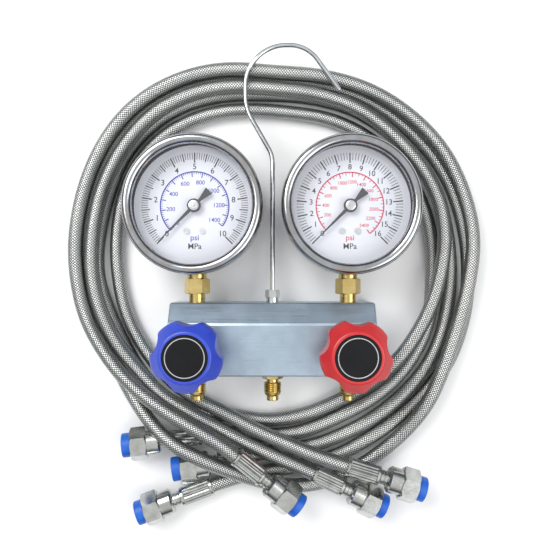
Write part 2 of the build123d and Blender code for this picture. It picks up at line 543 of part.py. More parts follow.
def bourdon_arc(width, height, end):
    """A flat bar swept round the dial centre from the socket to an angle."""
    line = CenterArc((0, 0, BOURDON_BACK_Z + BOURDON_HEIGHT / 2), BOURDON_RADIUS, BOURDON_START,
                     end - BOURDON_START)
    return sweep(Plane(line @ 0, x_dir=(0, 0, 1), z_dir=line % 0) * Rectangle(height, width), line)


def bourdon_tube():
    """The flattened C-shaped tube, closed at its free end, with the tongue for the link."""
    tube = bourdon_arc(BOURDON_WIDTH, BOURDON_HEIGHT, BOURDON_END)
    inside = BOURDON_WIDTH - 2 * BOURDON_WALL, BOURDON_HEIGHT - 2 * BOURDON_WALL
    tube -= bourdon_arc(*inside, BOURDON_END + 3)
    tongue = strip(polar(BOURDON_RADIUS - BOURDON_WIDTH / 2, BOURDON_END), link_end(), LINK_WIDTH,
                   LINK_THICKNESS, GEAR_Z)
    return tube + tongue - socket()


def tail_pin():
    """Where the sector's tail carries the link, at rest."""
    return polar(TAIL_DISTANCE, SECTOR_AXIS_ANGLE)


def link_end():
    """Where the link ends, under the tube's tongue."""
    x, y = tail_pin()
    dx, dy = polar(LINK_LENGTH, LINK_ANGLE)
    return x + dx, y + dy


def tooth(pitch_radius, teeth, addendum, depth, middle):
    """Corners of one involute tooth centred on an angle in degrees, from root to tip to root."""
    base = pitch_radius * cos(radians(PRESSURE_ANGLE))
    half = pi / 2 / teeth - GEAR_BACKLASH / 4 / pitch_radius + involute(radians(PRESSURE_ANGLE))
    root, tip = pitch_radius - depth, pitch_radius + addendum
    flank = []
    for step in range(TOOTH_STEPS + 1):
        radius = root + (tip - root) * step / TOOTH_STEPS
        angle = half - involute(acos(min(1, base / radius)))
        flank.append((radius, degrees(angle)))
    rising = [polar(radius, middle - angle) for radius, angle in flank]
    falling = [polar(radius, middle + angle) for radius, angle in reversed(flank)]
    return rising + falling


def involute(angle):
    """The involute function of an angle in radians."""
    return tan(angle) - angle


def pinion():
    """The pinion on the pointer's arbor, with a gap facing the sector."""
    corners = []
    for index in range(PINION_TEETH):
        middle = SECTOR_AXIS_ANGLE + (index + 0.5) * 360 / PINION_TEETH
        corners += tooth(PINION_PITCH_RADIUS, PINION_TEETH, PINION_ADDENDUM,
                         SECTOR_ADDENDUM + TOOTH_CLEARANCE, middle)
    return Pos(0, 0, GEAR_Z) * extrude(make_face(Polyline(*corners, close=True)), GEAR_THICKNESS)


def arbor():
    """The pointer's arbor, from the back plate to the pointer's hub, with its pinion."""
    start = FRAME_BACK_Z
    return rod(ARBOR_RADIUS, NEEDLE_Z + NEEDLE_HUB_HEIGHT - start - 1, z=start) + pinion()


def sector():
    """The toothed sector with its own arbor, its spokes and the tail with the link's pin."""
    facing = SECTOR_AXIS_ANGLE + 180
    corners = [(0, 0)]
    for index in range(SECTOR_FIRST_TOOTH, SECTOR_LAST_TOOTH + 1):
        corners += tooth(SECTOR_PITCH_RADIUS, SECTOR_TEETH, SECTOR_ADDENDUM,
                         PINION_ADDENDUM + TOOTH_CLEARANCE, facing + index * 360 / SECTOR_TEETH)
    plate = make_face(Polyline(*corners, close=True))
    middle = facing + (SECTOR_FIRST_TOOTH + SECTOR_LAST_TOOTH) / 2 * 360 / SECTOR_TEETH
    window = Circle(SECTOR_PITCH_RADIUS - 2.6) - Circle(SECTOR_HUB_RADIUS + 1.4)
    window &= Rot(0, 0, middle) * make_face(Polyline((0, 0), polar(30, -20), polar(30, 20), close=True))
    plate = plate - window + Circle(SECTOR_HUB_RADIUS)
    body = extrude(plate, GEAR_THICKNESS)
    tail = polar(SECTOR_TAIL, SECTOR_AXIS_ANGLE)
    body = Pos(0, 0, GEAR_Z) * (body + strip((0, 0), tail, LINK_WIDTH, GEAR_THICKNESS, 0))
    pin_foot = LINK_Z - 0.2
    body += rod(LINK_PIN_RADIUS, GEAR_Z - pin_foot, *tail, pin_foot)
    body += rod(ARBOR_RADIUS, FRAME_FRONT_TOP - 0.3 - FRAME_BACK_Z, z=FRAME_BACK_Z)
    return Pos(*polar(GEAR_CENTRES, SECTOR_AXIS_ANGLE)) * body


def link():
    """The flat link from the sector's pin to the tongue of the tube."""
    body = strip(tail_pin(), link_end(), LINK_WIDTH, LINK_THICKNESS, LINK_Z)
    return body - rod(LINK_PIN_RADIUS + FIT_CLEARANCE, LINK_THICKNESS, *tail_pin(), LINK_Z)


def movement_frame():
    """Two plates clamped on the socket's block, with pillars and the posts of the dial."""
    outline = make_face(Polyline(*FRAME_OUTLINE, close=True))
    outline = fillet(outline.vertices(), 2.0)
    frame = Pos(0, 0, FRAME_BACK_Z) * extrude(outline, FRAME_PLATE)
    frame += Pos(0, 0, FRAME_FRONT_Z) * extrude(outline, FRAME_PLATE)
    for x, y in FRAME_PILLARS:
        frame += rod(FRAME_PILLAR_RADIUS, FRAME_FRONT_Z - FRAME_BACK_TOP, x, y, FRAME_BACK_TOP)
    for x, y in [(0, 0), polar(GEAR_CENTRES, SECTOR_AXIS_ANGLE)]:
        frame -= rod(ARBOR_RADIUS + FIT_CLEARANCE, FRAME_FRONT_TOP - FRAME_BACK_Z, x, y, FRAME_BACK_Z)
    for x, y in dial_posts():
        frame += rod(DIAL_POST_RADIUS, DIAL_Z - FRAME_FRONT_TOP, x, y, FRAME_FRONT_TOP)
        depth = DIAL_SCREW_LENGTH - DIAL_THICKNESS
        frame -= rod(DIAL_SCREW_RADIUS, depth, x, y, DIAL_Z - depth)
    return frame


def pointer():
    """The pointer: tapered blade, flared tail and the hub pressed on the arbor."""
    half, tail = NEEDLE_WIDTH / 2, NEEDLE_TAIL_WIDTH / 2
    waist, end = NEEDLE_TAIL * 0.4, half * 0.8
    blade = make_face(Polyline((NEEDLE_LENGTH, 0.15), (0, half), (-waist, end), (-NEEDLE_TAIL, tail),
                               (-NEEDLE_TAIL, -tail), (-waist, -end), (0, -half),
                               (NEEDLE_LENGTH, -0.15), close=True))
    body = Pos(0, 0, NEEDLE_Z) * extrude(blade, NEEDLE_THICKNESS)
    top = NEEDLE_Z + NEEDLE_HUB_HEIGHT
    hub = turned([(0, NEEDLE_Z), (NEEDLE_HUB_RADIUS, NEEDLE_Z), (NEEDLE_HUB_RADIUS, top - 1),
                  (NEEDLE_HUB_RADIUS - 1, top), (0, top)])
    return Rot(0, 0, NEEDLE_ZERO) * (body + hub) - arbor()


def write_gauges():
    """Write both gauges, and the pieces that they share a node for."""
    pieces = {"case": case(), "bezel": bezel(), "dial": dial(), "socket": socket(),
              "window": rod(CASE_RADIUS - WINDOW_GAP, WINDOW_THICKNESS, z=WINDOW_Z),
              "bourdon_tube": bourdon_tube(), "movement_frame": movement_frame(),
              "arbor": arbor(), "sector": sector(), "link": link(), "pointer": pointer()}
    gasket = ring(CASE_RADIUS - WINDOW_GAP, CASE_INNER_RADIUS - 1.2, GASKET_THICKNESS, CASE_RIM_Z)
    plug = rod(FILL_PLUG_RADIUS, FILL_PLUG_HEIGHT, *FILL_PLUG_PLACE, CASE_BACK_Z)
    screws = [dial_screw(x, y) for x, y in dial_posts()]
    centres = [Pos(x, GAUGE_Y, 0) for x in STATIONS.values()]
    for side, place in zip(STATIONS, centres):
        for name, piece in pieces.items():
            write(f"{side}_{name}", place * piece)
    write("window_gaskets", Compound([place * gasket for place in centres]))
    write("fill_plugs", Compound([place * plug for place in centres]))
    write("dial_screws", Compound([place * screw for place in centres for screw in screws]))


# ---------------------------------------------------------------- hose end fittings
def ferrule():
    """The crimped sleeve on the hose's end, from the hose's face along Z."""
    crimp = FERRULE_LENGTH - 2 * FERRULE_BAND
    flats = RegularPolygon(FERRULE_CRIMP_ACROSS / 2, FERRULE_CRIMP_SIDES, major_radius=False)
    body = rod(FERRULE_RADIUS, FERRULE_BAND)
    body += rod(FERRULE_RADIUS, FERRULE_BAND, z=FERRULE_LENGTH - FERRULE_BAND)
    body += Pos(0, 0, FERRULE_BAND) * extrude(flats & Circle(FERRULE_RADIUS), crimp)
    return body - rod(TAIL_RADIUS, FERRULE_LENGTH)


def hose_stem():
    """The fitting's stem: tail in the ferrule, ringed neck, shoulder and flared nose."""
    tail, neck, start, end = FERRULE_LENGTH, NECK_END, SHOULDER_START, SHOULDER_END
    nose = SHOULDER_RADIUS - NOSE_LENGTH
    body = turned([(0, 0), (TAIL_RADIUS, 0), (TAIL_RADIUS, tail), (NECK_RADIUS, tail),
                   (NECK_RADIUS, start), (SHOULDER_RADIUS, start), (SHOULDER_RADIUS, end),
                   (nose, end + NOSE_LENGTH), (0, end + NOSE_LENGTH)])
    gap = (neck - tail - 2 * NECK_RING_WIDTH) / 3
    for index in range(2):
        body += rod(NECK_RING_RADIUS, NECK_RING_WIDTH, z=tail + gap + index * (gap + NECK_RING_WIDTH))
    return body - rod(FITTING_BORE_RADIUS, end + NOSE_LENGTH)


def swivel_nut():
    """The nut that turns on the stem: round collar, hexagon and the bore for the port."""
    radius = NUT_COLLAR_RADIUS
    nut = turned([(0, NECK_END), (radius - 1.2, NECK_END), (radius, NECK_END + 1.2),
                  (radius, NUT_HEX_START), (0, NUT_HEX_START)])
    nut += hexagon(NUT_AF, NUT_HEX_LENGTH, NUT_HEX_START)
    nut -= rod(NECK_RADIUS + FIT_CLEARANCE, NUT_REAR_LIP, z=NECK_END)
    return nut - rod(NUT_BORE_RADIUS, NUT_END - NECK_END - NUT_REAR_LIP, z=NECK_END + NUT_REAR_LIP)


def dust_cap():
    """The push-in dust cap: a plug in the nut's bore and a dished flange."""
    plug = NUT_BORE_RADIUS - FIT_CLEARANCE
    return turned([(0, NUT_END - CAP_PLUG_LENGTH), (plug - 0.6, NUT_END - CAP_PLUG_LENGTH),
                   (plug, NUT_END - CAP_PLUG_LENGTH + 0.6), (plug, NUT_END), (CAP_RADIUS, NUT_END),
                   (CAP_RADIUS, CAP_END), (CAP_RADIUS - 1.6, CAP_END),
                   (CAP_RADIUS - 2.4, CAP_END - CAP_DISH), (0, CAP_END - CAP_DISH)], {5: 0.8})


# ---------------------------------------------------------------- hoses
def corner_radii(route):
    """Arc radii for a route's corners: each arc takes a fixed share of its shorter run."""
    points = [Vector(*point) for point in route]
    radii = []
    for before, corner, after in zip(points, points[1:], points[2:]):
        run, onward = corner - before, after - corner
        turn = radians(run.get_angle(onward))
        radii.append(HOSE_RUN_SHARE * min(run.length, onward.length) / tan(turn / 2))
    return radii


def hose(name, route):
    """A plain tube along the route, with its radii and its volume against section times length."""
    radii = corner_radii(route)
    line = FilletPolyline(*route, radius=radii)
    tube = sweep(Plane(line @ 0, z_dir=line % 0) * Circle(HOSE_RADIUS), line)
    share = tube.volume / (pi * HOSE_RADIUS ** 2 * line.length)
    print(name, f"length {line.length:.0f} mm, volume {share:.4f} of section times length")
    print(name, "radii", [round(radius) for radius in radii])
    return tube


def fitting_frame(end, neighbour):
    """A frame at a hose's end whose Z runs straight on out of the hose."""
    onward = Vector(*end) - Vector(*neighbour)
    return Plane(end, x_dir=Vector(0, 0, 1).cross(onward), z_dir=onward).location


def write_hoses():
    """Write the hoses and the fittings on their ends."""
    frames = {}
    for name, (route, first, last) in HOSES.items():
        write(name, hose(name, route))
        frames[first] = fitting_frame(route[0], route[1])
        frames[last] = fitting_frame(route[-1], route[-2])
    sleeve, inner, nut, cap = ferrule(), hose_stem(), swivel_nut(), dust_cap()
    for number, frame in sorted(frames.items()):
        write(f"swivel_nut_{number}", frame * nut)
        write(f"dust_cap_{number}", frame * cap)
        print("fitting", number, "origin", tuple(frame.position), "axis", tuple(Plane(frame).z_dir))
    write("hose_ferrules", Compound([frame * sleeve for frame in frames.values()]))
    write("hose_stems", Compound([frame * inner for frame in frames.values()]))


os.makedirs("parts", exist_ok=True)
write_manifold()
write_gauges()
write_hoses()
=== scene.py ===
"""Visual model of a refrigerant manifold gauge set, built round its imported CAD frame.

Sizes are in millimetres in the classes and in metres in Blender. +Z points out of the
dials, +Y runs up the manifold block to the hook, +X runs to the high-side gauge.
"""
import logging
import math
from dataclasses import dataclass
from enum import Enum
from typing import Sequence

import bmesh
import bpy
from mathutils import Matrix, Vector

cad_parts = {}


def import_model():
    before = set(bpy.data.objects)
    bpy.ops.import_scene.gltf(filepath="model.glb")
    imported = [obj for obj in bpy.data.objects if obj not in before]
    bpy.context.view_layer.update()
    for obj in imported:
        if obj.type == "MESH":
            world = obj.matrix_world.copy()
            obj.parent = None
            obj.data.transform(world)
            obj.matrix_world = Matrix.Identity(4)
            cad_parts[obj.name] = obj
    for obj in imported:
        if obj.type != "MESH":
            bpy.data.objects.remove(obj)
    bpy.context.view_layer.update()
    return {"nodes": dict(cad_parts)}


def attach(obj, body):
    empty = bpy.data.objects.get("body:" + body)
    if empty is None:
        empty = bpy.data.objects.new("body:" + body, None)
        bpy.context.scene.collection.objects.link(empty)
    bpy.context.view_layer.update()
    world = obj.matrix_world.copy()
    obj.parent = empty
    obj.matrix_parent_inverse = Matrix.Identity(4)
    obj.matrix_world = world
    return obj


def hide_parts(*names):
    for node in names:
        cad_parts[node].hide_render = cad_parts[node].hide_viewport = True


LOG = logging.getLogger("gauge_set")
MM = 0.001
SAME_POINT = 1e-6               # points closer than this, in metres, are one point
WELD_MM = 1e-5                  # corners closer than this are joined on a lathe's axis
ON_MARK = 1e-6                  # how far a reading may lie from a whole number of marks
NOISE_MIDDLE = (0.35, 0.65)     # where most values of a soft noise lie
NOISE_SPAN = (0.3, 0.7)         # where nearly all of them lie
GAUGE_X, GAUGE_Y = 48.0, 82.4
SIDES = (("left", -GAUGE_X), ("right", GAUGE_X))
Point = tuple[float, float, float]
Node = bpy.types.ShaderNode
Tree = bpy.types.NodeTree


def linear(colour: str) -> tuple[float, float, float, float]:
    """Turn an sRGB hex colour into Blender's linear colour.

    Args:
        colour: the colour as "#RRGGBB".

    Returns:
        Red, green, blue and an alpha of 1.
    """
    parts = [int(colour[i:i + 2], 16) / 255 for i in (1, 3, 5)]
    made = [p / 12.92 if p <= 0.04045 else ((p + 0.055) / 1.055) ** 2.4 for p in parts]
    return made[0], made[1], made[2], 1.0


def add(tree: Tree, kind: str, inputs: dict | None = None, **settings: object) -> Node:
    """Add a shader node with its settings, values and links.

    Args:
        tree: the node tree that it goes into.
        kind: the node's type, without "ShaderNode".
        inputs: a value, a node or an output socket for each named or numbered input.
        settings: properties of the node.

    Returns:
        The new node.
    """
    made = tree.nodes.new("ShaderNode" + kind)
    for key, value in settings.items():
        setattr(made, key, value)
    for key, value in (inputs or {}).items():
        if isinstance(value, Node):
            value = value.outputs[0]
        if isinstance(value, bpy.types.NodeSocket):
            tree.links.new(value, made.inputs[key])
        else:
            made.inputs[key].default_value = value
    return made


def per_mm(size: float) -> float:
    """Find the texture scale, for coordinates in metres, of a feature of a given width.

    Args:
        size: the feature's width in mm.

    Returns:
        The scale.
    """
    return 1 / (size * MM)


# ---------------------------------------------------------------- finishes
class Grain(Enum):
    """How a surface was made, as the size in mm of its marks along X, Y and Z."""

    MOULDED = (0.45, 0.45, 0.45)
    MILLED = (30.0, 0.55, 0.55)
    TURNED_Y = (8.0, 0.35, 8.0)
    TURNED_Z = (8.0, 8.0, 0.35)
    POLISHED = (2.5, 2.5, 2.5)
    TUMBLED = (0.7, 0.7, 0.7)


@dataclass(frozen=True)
class Finish:
    """A surface finish: base shader values with grain and slow variation over them."""

    name: str
    colour: str
    tint: str
    roughness: float
    metallic: float = 0.0
    grain: Grain = Grain.MOULDED
    relief_mm: float = 0.01
    spread: float = 0.06
    patch_mm: float = 9.0
    coat: float = 0.0
    specular: float = 0.5
    smoothest: float = 0.02

    def material(self) -> bpy.types.Material:
        """Find the material by its name, or make it on its first use.

        Returns:
            The material.
        """
        made = bpy.data.materials.get(self.name)
        if made is None:
            made = bpy.data.materials.new(self.name)
            made.use_nodes = True
            tree = made.node_tree
            shader = tree.nodes["Principled BSDF"]
            shader.inputs["Metallic"].default_value = self.metallic
            shader.inputs["Coat Weight"].default_value = self.coat
            shader.inputs["Specular IOR Level"].default_value = self.specular
            self.dress(tree, shader)
        return made

    def dress(self, tree: Tree, shader: Node) -> None:
        """Lay grain in roughness and relief, and slow variation in colour.

        Args:
            tree: the material's node tree.
            shader: its Principled node.
        """
        place = add(tree, "TexCoord").outputs["Object"]
        cells = tuple(per_mm(size) for size in self.grain.value)
        stretched = add(tree, "Mapping", {"Vector": place, "Scale": cells})
        marks = add(tree, "TexNoise", {"Vector": stretched, "Scale": 1.0, "Detail": 3.0})
        patches = add(tree, "TexNoise", {"Vector": place, "Scale": per_mm(self.patch_mm),
                                         "Detail": 4.0})
        mix = add(tree, "MapRange", {"Value": patches, "From Min": NOISE_MIDDLE[0],
                                    "From Max": NOISE_MIDDLE[1]})
        colour = add(tree, "Mix", {0: mix, 6: linear(self.colour), 7: linear(self.tint)},
                     data_type="RGBA")
        rough = add(tree, "MapRange", {"Value": marks, "From Min": NOISE_SPAN[0],
                                       "From Max": NOISE_SPAN[1],
                                       "To Min": max(self.smoothest, self.roughness - self.spread),
                                       "To Max": self.roughness + self.spread})
        bump = add(tree, "Bump", {"Height": marks, "Distance": self.relief_mm * MM,
                                  "Strength": 1.0})
        tree.links.new(colour.outputs[2], shader.inputs["Base Color"])
        tree.links.new(rough.outputs[0], shader.inputs["Roughness"])
        tree.links.new(bump.outputs[0], shader.inputs["Normal"])


@dataclass(frozen=True)
class Braid(Finish):
    """Stainless wire braid, drawn from the hose's own UV map (turns round, metres along).

    The real bundles are about 1.3 mm apart, and they are drawn wider, so that they show
    in a view of the whole set. The raised crossings make rows of bright dots, and the gaps
    between bundles and the grooves between wires are darkened with painted shade.
    """

    bundles: int = 14
    lay_mm: float = 1.75
    wires: float = 4.0
    wire_depth: float = 0.25
    crown: float = 0.6              # lower makes the bundles' crowns flatter
    # Painted shade: this dark colour is laid into the low parts of the weave, the gaps between
    # bundles and the grooves between wires
    gap_shade_colour: str = "#34383B"
    shaded_below: float = 0.25
    unshaded_above: float = 0.8
    gap_roughness: float = 0.3

    def dress(self, tree: Tree, shader: Node) -> None:
        """Weave two families of wire bundles that pass over and under each other,
        with painted shade darkening the gaps between bundles and wires.

        Args:
            tree: the material's node tree.
            shader: its Principled node.
        """
        turns = add(tree, "SeparateXYZ", {0: add(tree, "TexCoord").outputs["UV"]})

        def maths(operation: str, first: object, second: object = 0.0) -> Node:
            """Add a maths node.

            Args:
                operation: what it works out.
                first: its first value, node or socket.
                second: its second one.

            Returns:
                The node.
            """
            return add(tree, "Math", {0: first, 1: second}, operation=operation)

        around = maths("MULTIPLY", turns.outputs[0], float(self.bundles))
        along = maths("MULTIPLY", turns.outputs[1], per_mm(self.lay_mm))
        right, left = maths("ADD", around, along), maths("SUBTRACT", around, along)
        crowns = [maths("ABSOLUTE", maths("SINE", maths("MULTIPLY", side, math.pi)))
                  for side in (right, left)]
        bead = maths("POWER", maths("MULTIPLY", *crowns), self.crown)
        crossing = maths("ADD", maths("FLOOR", right), maths("FLOOR", left))
        odd = maths("PINGPONG", crossing, 1.0)
        pitch = math.pi * self.wires
        strands = [maths("ABSOLUTE", maths("SINE", maths("MULTIPLY", side, pitch)))
                   for side in (right, left)]
        over = add(tree, "Mix", {0: odd, 2: strands[0], 3: strands[1]}, data_type="FLOAT")
        wire = maths("ADD", maths("MULTIPLY", over, self.wire_depth), 1 - self.wire_depth)
        height = maths("MULTIPLY", bead, wire)
        place = add(tree, "TexCoord").outputs["Object"]
        patches = add(tree, "TexNoise", {"Vector": place, "Scale": per_mm(self.patch_mm)})
        steel = add(tree, "Mix", {0: patches, 6: linear(self.colour), 7: linear(self.tint)},
                    data_type="RGBA")
        # Painted shade: the base colour darkens to the dark gap colour where the weave is low
        shade = add(tree, "MapRange", {"Value": height, "From Min": self.shaded_below,
                                       "From Max": self.unshaded_above})
        colour = add(tree, "Mix", {0: shade, 6: linear(self.gap_shade_colour), 7: steel.outputs[2]},
                     data_type="RGBA")
        bump = add(tree, "Bump", {"Height": height, "Distance": self.relief_mm * MM})
        rough = add(tree, "MapRange", {"Value": height,
                                       "To Min": self.roughness + self.gap_roughness,
                                       "To Max": self.roughness})
        tree.links.new(colour.outputs[2], shader.inputs["Base Color"])
        tree.links.new(rough.outputs[0], shader.inputs["Roughness"])
        tree.links.new(bump.outputs[0], shader.inputs["Normal"])


@dataclass(frozen=True)
class Glass(Finish):
    """Flat laminated gauge glass: all but clear, with a sharp reflection."""

    cover: float = 0.05

    def dress(self, tree: Tree, shader: Node) -> None:
        """Let light straight through, with a thin reflection and faint smears.

        Args:
            tree: the material's node tree.
            shader: its Principled node.
        """
        place = add(tree, "TexCoord").outputs["Object"]
        smears = add(tree, "TexNoise", {"Vector": place, "Scale": per_mm(self.patch_mm)})
        rough = add(tree, "MapRange", {"Value": smears, "To Min": self.roughness,
                                       "To Max": self.roughness + self.spread})
        shader.inputs["Base Color"].default_value = linear(self.colour)
        shader.inputs["Alpha"].default_value = self.cover
        tree.links.new(rough.outputs[0], shader.inputs["Roughness"])


ANODISED = Finish("anodised_milled_aluminium", "#A6B6C4", "#AFC0CE", 0.34, 0.8,
                  Grain.MILLED, 0.004, 0.08)
CHROME = Finish("chromed_steel_wire", "#D6D9DB", "#C6CACC", 0.10, 1.0,
                Grain.POLISHED, 0.002, 0.04)
STAINLESS = Finish("polished_stainless_steel", "#AEB3B8", "#A29F9D", 0.15, 1.0,
                   Grain.TURNED_Z, 0.002, 0.05)
BRASS = Finish("turned_brass", "#D9C283", "#C9AE6A", 0.22, 1.0, Grain.TURNED_Y, 0.006, 0.08)
ZINC = Finish("zinc_plated_steel", "#C6C9C7", "#AFB0AB", 0.20, 1.0,
              Grain.TUMBLED, 0.0015, 0.06, 7.0)
GLASS = Glass("laminated_glass", "#F4F7F8", "#F4F7F8", 0.03, spread=0.02, patch_mm=14.0)
ENAMEL = Finish("matt_dial_enamel", "#E0E2EB", "#DADDE7", 0.55, grain=Grain.MOULDED,
                relief_mm=0.002, patch_mm=20.0)
BLACK_INK = Finish("black_dial_ink", "#0E1014", "#14161B", 0.6, specular=0.15)
BLUE_INK = Finish("blue_dial_ink", "#2A26A6", "#322EAE", 0.6, specular=0.15)
RED_INK = Finish("red_dial_ink", "#D01E44", "#CC2444", 0.6, specular=0.15)
POINTER = Finish("black_lacquered_aluminium", "#171C26", "#1C222D", 0.5, specular=0.15)
HUB = Finish("turned_aluminium_hub", "#D2D4D6", "#C4C6C8", 0.3, 0.9, Grain.TUMBLED, 0.004)
RUBBER = Finish("nitrile_rubber", "#17181A", "#1E1F21", 0.75)
BLUE_KNOB = Finish("moulded_blue_abs", "#2B42B8", "#344CC0", 0.33, relief_mm=0.012, coat=0.15)
RED_KNOB = Finish("moulded_red_abs", "#BC2429", "#C62D30", 0.33, relief_mm=0.012, coat=0.15)
BLACK_ABS = Finish("moulded_black_abs", "#0D0E10", "#121316", 0.4, relief_mm=0.004,
                   specular=0.2)
BLUE_CAP = Finish("moulded_blue_polythene", "#0F57BE", "#1A64C8", 0.42, relief_mm=0.015)
BRAID = Braid("stainless_wire_braid", "#EDEEE9", "#C9CCCB", 0.2, 1.0, relief_mm=0.17,
              patch_mm=30.0)

NODE_FINISHES = {
    "manifold_block": ANODISED, "hook": CHROME, "hook_nut": CHROME, "hose": BRAID,
    "port": BRASS, "bonnet": BRASS, "socket": BRASS, "bourdon_tube": BRASS,
    "movement_frame": BRASS, "arbor": BRASS, "sector": BRASS, "link": BRASS, "plunger": BRASS,
    "case": STAINLESS, "bezel": STAINLESS, "window": GLASS, "dial": ENAMEL,
    "pointer": POINTER, "stem": STAINLESS, "knob_screw": STAINLESS, "badge": BLACK_ABS,
    "left_knob": BLUE_KNOB, "right_knob": RED_KNOB, "window_gaskets": RUBBER,
    "fill_plugs": RUBBER, "dial_screws": HUB, "hose_ferrules": ZINC, "hose_stems": ZINC,
    "swivel_nut": ZINC, "dust_cap": BLUE_CAP,
}


def finish_of(node: str) -> Finish:
    """Find the finish of a CAD node by its name, or by the part of it after its side.

    Args:
        node: the node's name.

    Returns:
        The finish that it takes.
    """
    bare = node.rstrip("0123456789").rstrip("_")
    kinds = (node, bare, bare.split("_", 1)[-1])
    return next(NODE_FINISHES[kind] for kind in kinds if kind in NODE_FINISHES)


# ---------------------------------------------------------------- making pieces
def make_piece(name: str, body: str, bm: bmesh.types.BMesh,
               finishes: Sequence[Finish], sharp: float = 35.0) -> bpy.types.Object:
    """Turn a bmesh in metres into a smooth-shaded piece that rides on a body.

    Args:
        name: the piece's name.
        body: the CAD body that it moves with.
        bm: its shape, which is freed.
        finishes: one for each material index.
        sharp: edges that turn more degrees than this stay sharp.

    Returns:
        The new object.
    """
    mesh = bpy.data.meshes.new(name)
    bm.to_mesh(mesh)
    bm.free()
    mesh.shade_smooth()
    mesh.set_sharp_from_angle(angle=math.radians(sharp))
    for finish in finishes:
        mesh.materials.append(finish.material())
    piece = bpy.data.objects.new(name, mesh)
    bpy.context.scene.collection.objects.link(piece)
    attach(piece, body)
    return piece


def lathe(profile: Sequence[tuple[float, float]], centre: Point,
          segments: int = 96) -> bmesh.types.BMesh:
    """Spin a closed profile of (radius, height) corners in mm round an upright axis.

    Args:
        profile: the section's corners, in order.
        centre: the point of the axis at height 0, in mm.
        segments: steps round.

    Returns:
        The shape in metres, with its normals outwards.
    """
    bm = bmesh.new()
    corners = [bm.verts.new((radius, 0, height)) for radius, height in profile]
    edges = [bm.edges.new(pair) for pair in zip(corners, corners[1:] + corners[:1])]
    bmesh.ops.spin(bm, geom=corners + edges, cent=(0, 0, 0), axis=(0, 0, 1),
                   angle=2 * math.pi, steps=segments, use_merge=True)
    bmesh.ops.remove_doubles(bm, verts=bm.verts, dist=WELD_MM)
    bmesh.ops.recalc_face_normals(bm, faces=bm.faces)
    bm.transform(Matrix.Scale(MM, 4) @ Matrix.Translation(centre))
    return bm


# ---------------------------------------------------------------- hoses
@dataclass
class Hose:
    """A charging hose: wire braid over rubber, with a fitting at each end."""

    name: str
    fittings: tuple[int, int]
    route: list[Point]
    diameter: float = 9.2
    sides: int = 24
    steps: int = 8

    def line(self) -> list[Vector]:
        """Read points along the hose's smooth line from its NURBS spline.

        Returns:
            The points in metres.
        """
        curve = bpy.data.curves.new(self.name + "_line", "CURVE")
        curve.dimensions = "3D"
        spline = curve.splines.new("NURBS")
        spline.points.add(len(self.route) - 1)
        for point, place in zip(spline.points, self.route):
            point.co = (*(Vector(place) * MM), 1)
        spline.order_u = 3
        spline.use_endpoint_u = True
        spline.resolution_u = self.steps
        guide = bpy.data.objects.new(curve.name, curve)
        bpy.context.scene.collection.objects.link(guide)
        mesh = bpy.data.meshes.new_from_object(guide)
        points = [vertex.co.copy() for vertex in mesh.vertices]
        bpy.data.objects.remove(guide)
        bpy.data.meshes.remove(mesh)
        return points[:1] + [there for here, there in zip(points, points[1:])
                             if (there - here).length > SAME_POINT]

    def tube(self, points: list[Vector]) -> bmesh.types.BMesh:
        """Extrude a ring along the line, with UVs of turns round and metres along.

        Args:
            points: the line that it follows.

        Returns:
            The tube, closed at both ends.
        """
        bm = bmesh.new()
        uv = bm.loops.layers.uv.new("braid")
        start = bm.verts.layers.float.new("along")
        side = bm.verts.layers.float.new("round")
        tangents = [(b - a).normalized() for a, b in zip(points, points[1:])]
        tangents.append(tangents[-1])
        ring = bmesh.ops.create_circle(bm, segments=self.sides, radius=self.diameter / 2 * MM,
                                       cap_ends=True)["verts"]
        turn = Vector((0, 0, 1)).rotation_difference(tangents[0]).to_matrix().to_4x4()
        bmesh.ops.transform(bm, matrix=Matrix.Translation(points[0]) @ turn, verts=ring)
        edges = list(bm.edges)
        for index, vertex in enumerate(ring):
            vertex[side] = index / self.sides
        travelled = 0.0
        for here, there, before, after in zip(points, points[1:], tangents, tangents[1:]):
            travelled += (there - here).length
            made = bmesh.ops.extrude_edge_only(bm, edges=edges)["geom"]
            ring = [item for item in made if isinstance(item, bmesh.types.BMVert)]
            edges = [item for item in made if isinstance(item, bmesh.types.BMEdge)]
            turn = before.rotation_difference(after).to_matrix().to_4x4()
            move = Matrix.Translation(there) @ turn @ Matrix.Translation(-here)
            bmesh.ops.transform(bm, matrix=move, verts=ring)
            for vertex in ring:
                vertex[start] = travelled
        bmesh.ops.contextual_create(bm, geom=edges)
        for face in bm.faces:
            rounds = [loop.vert[side] for loop in face.loops]
            wraps = max(rounds) - min(rounds) > 0.5
            for loop, share in zip(face.loops, rounds):
                loop[uv].uv = (share + 1 if wraps and share < 0.5 else share, loop.vert[start])
        bmesh.ops.recalc_face_normals(bm, faces=bm.faces)
        return bm

    def build(self, nodes: dict[str, bpy.types.Object]) -> None:
        """Args:
            nodes: the CAD nodes by name; not used.
        """
        points = self.line()
        LOG.info("%s: %d points", self.name, len(points))
        piece = make_piece(self.name + "_braid", "manifold",
                           self.tube(points), [BRAID])
        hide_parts(self.name)


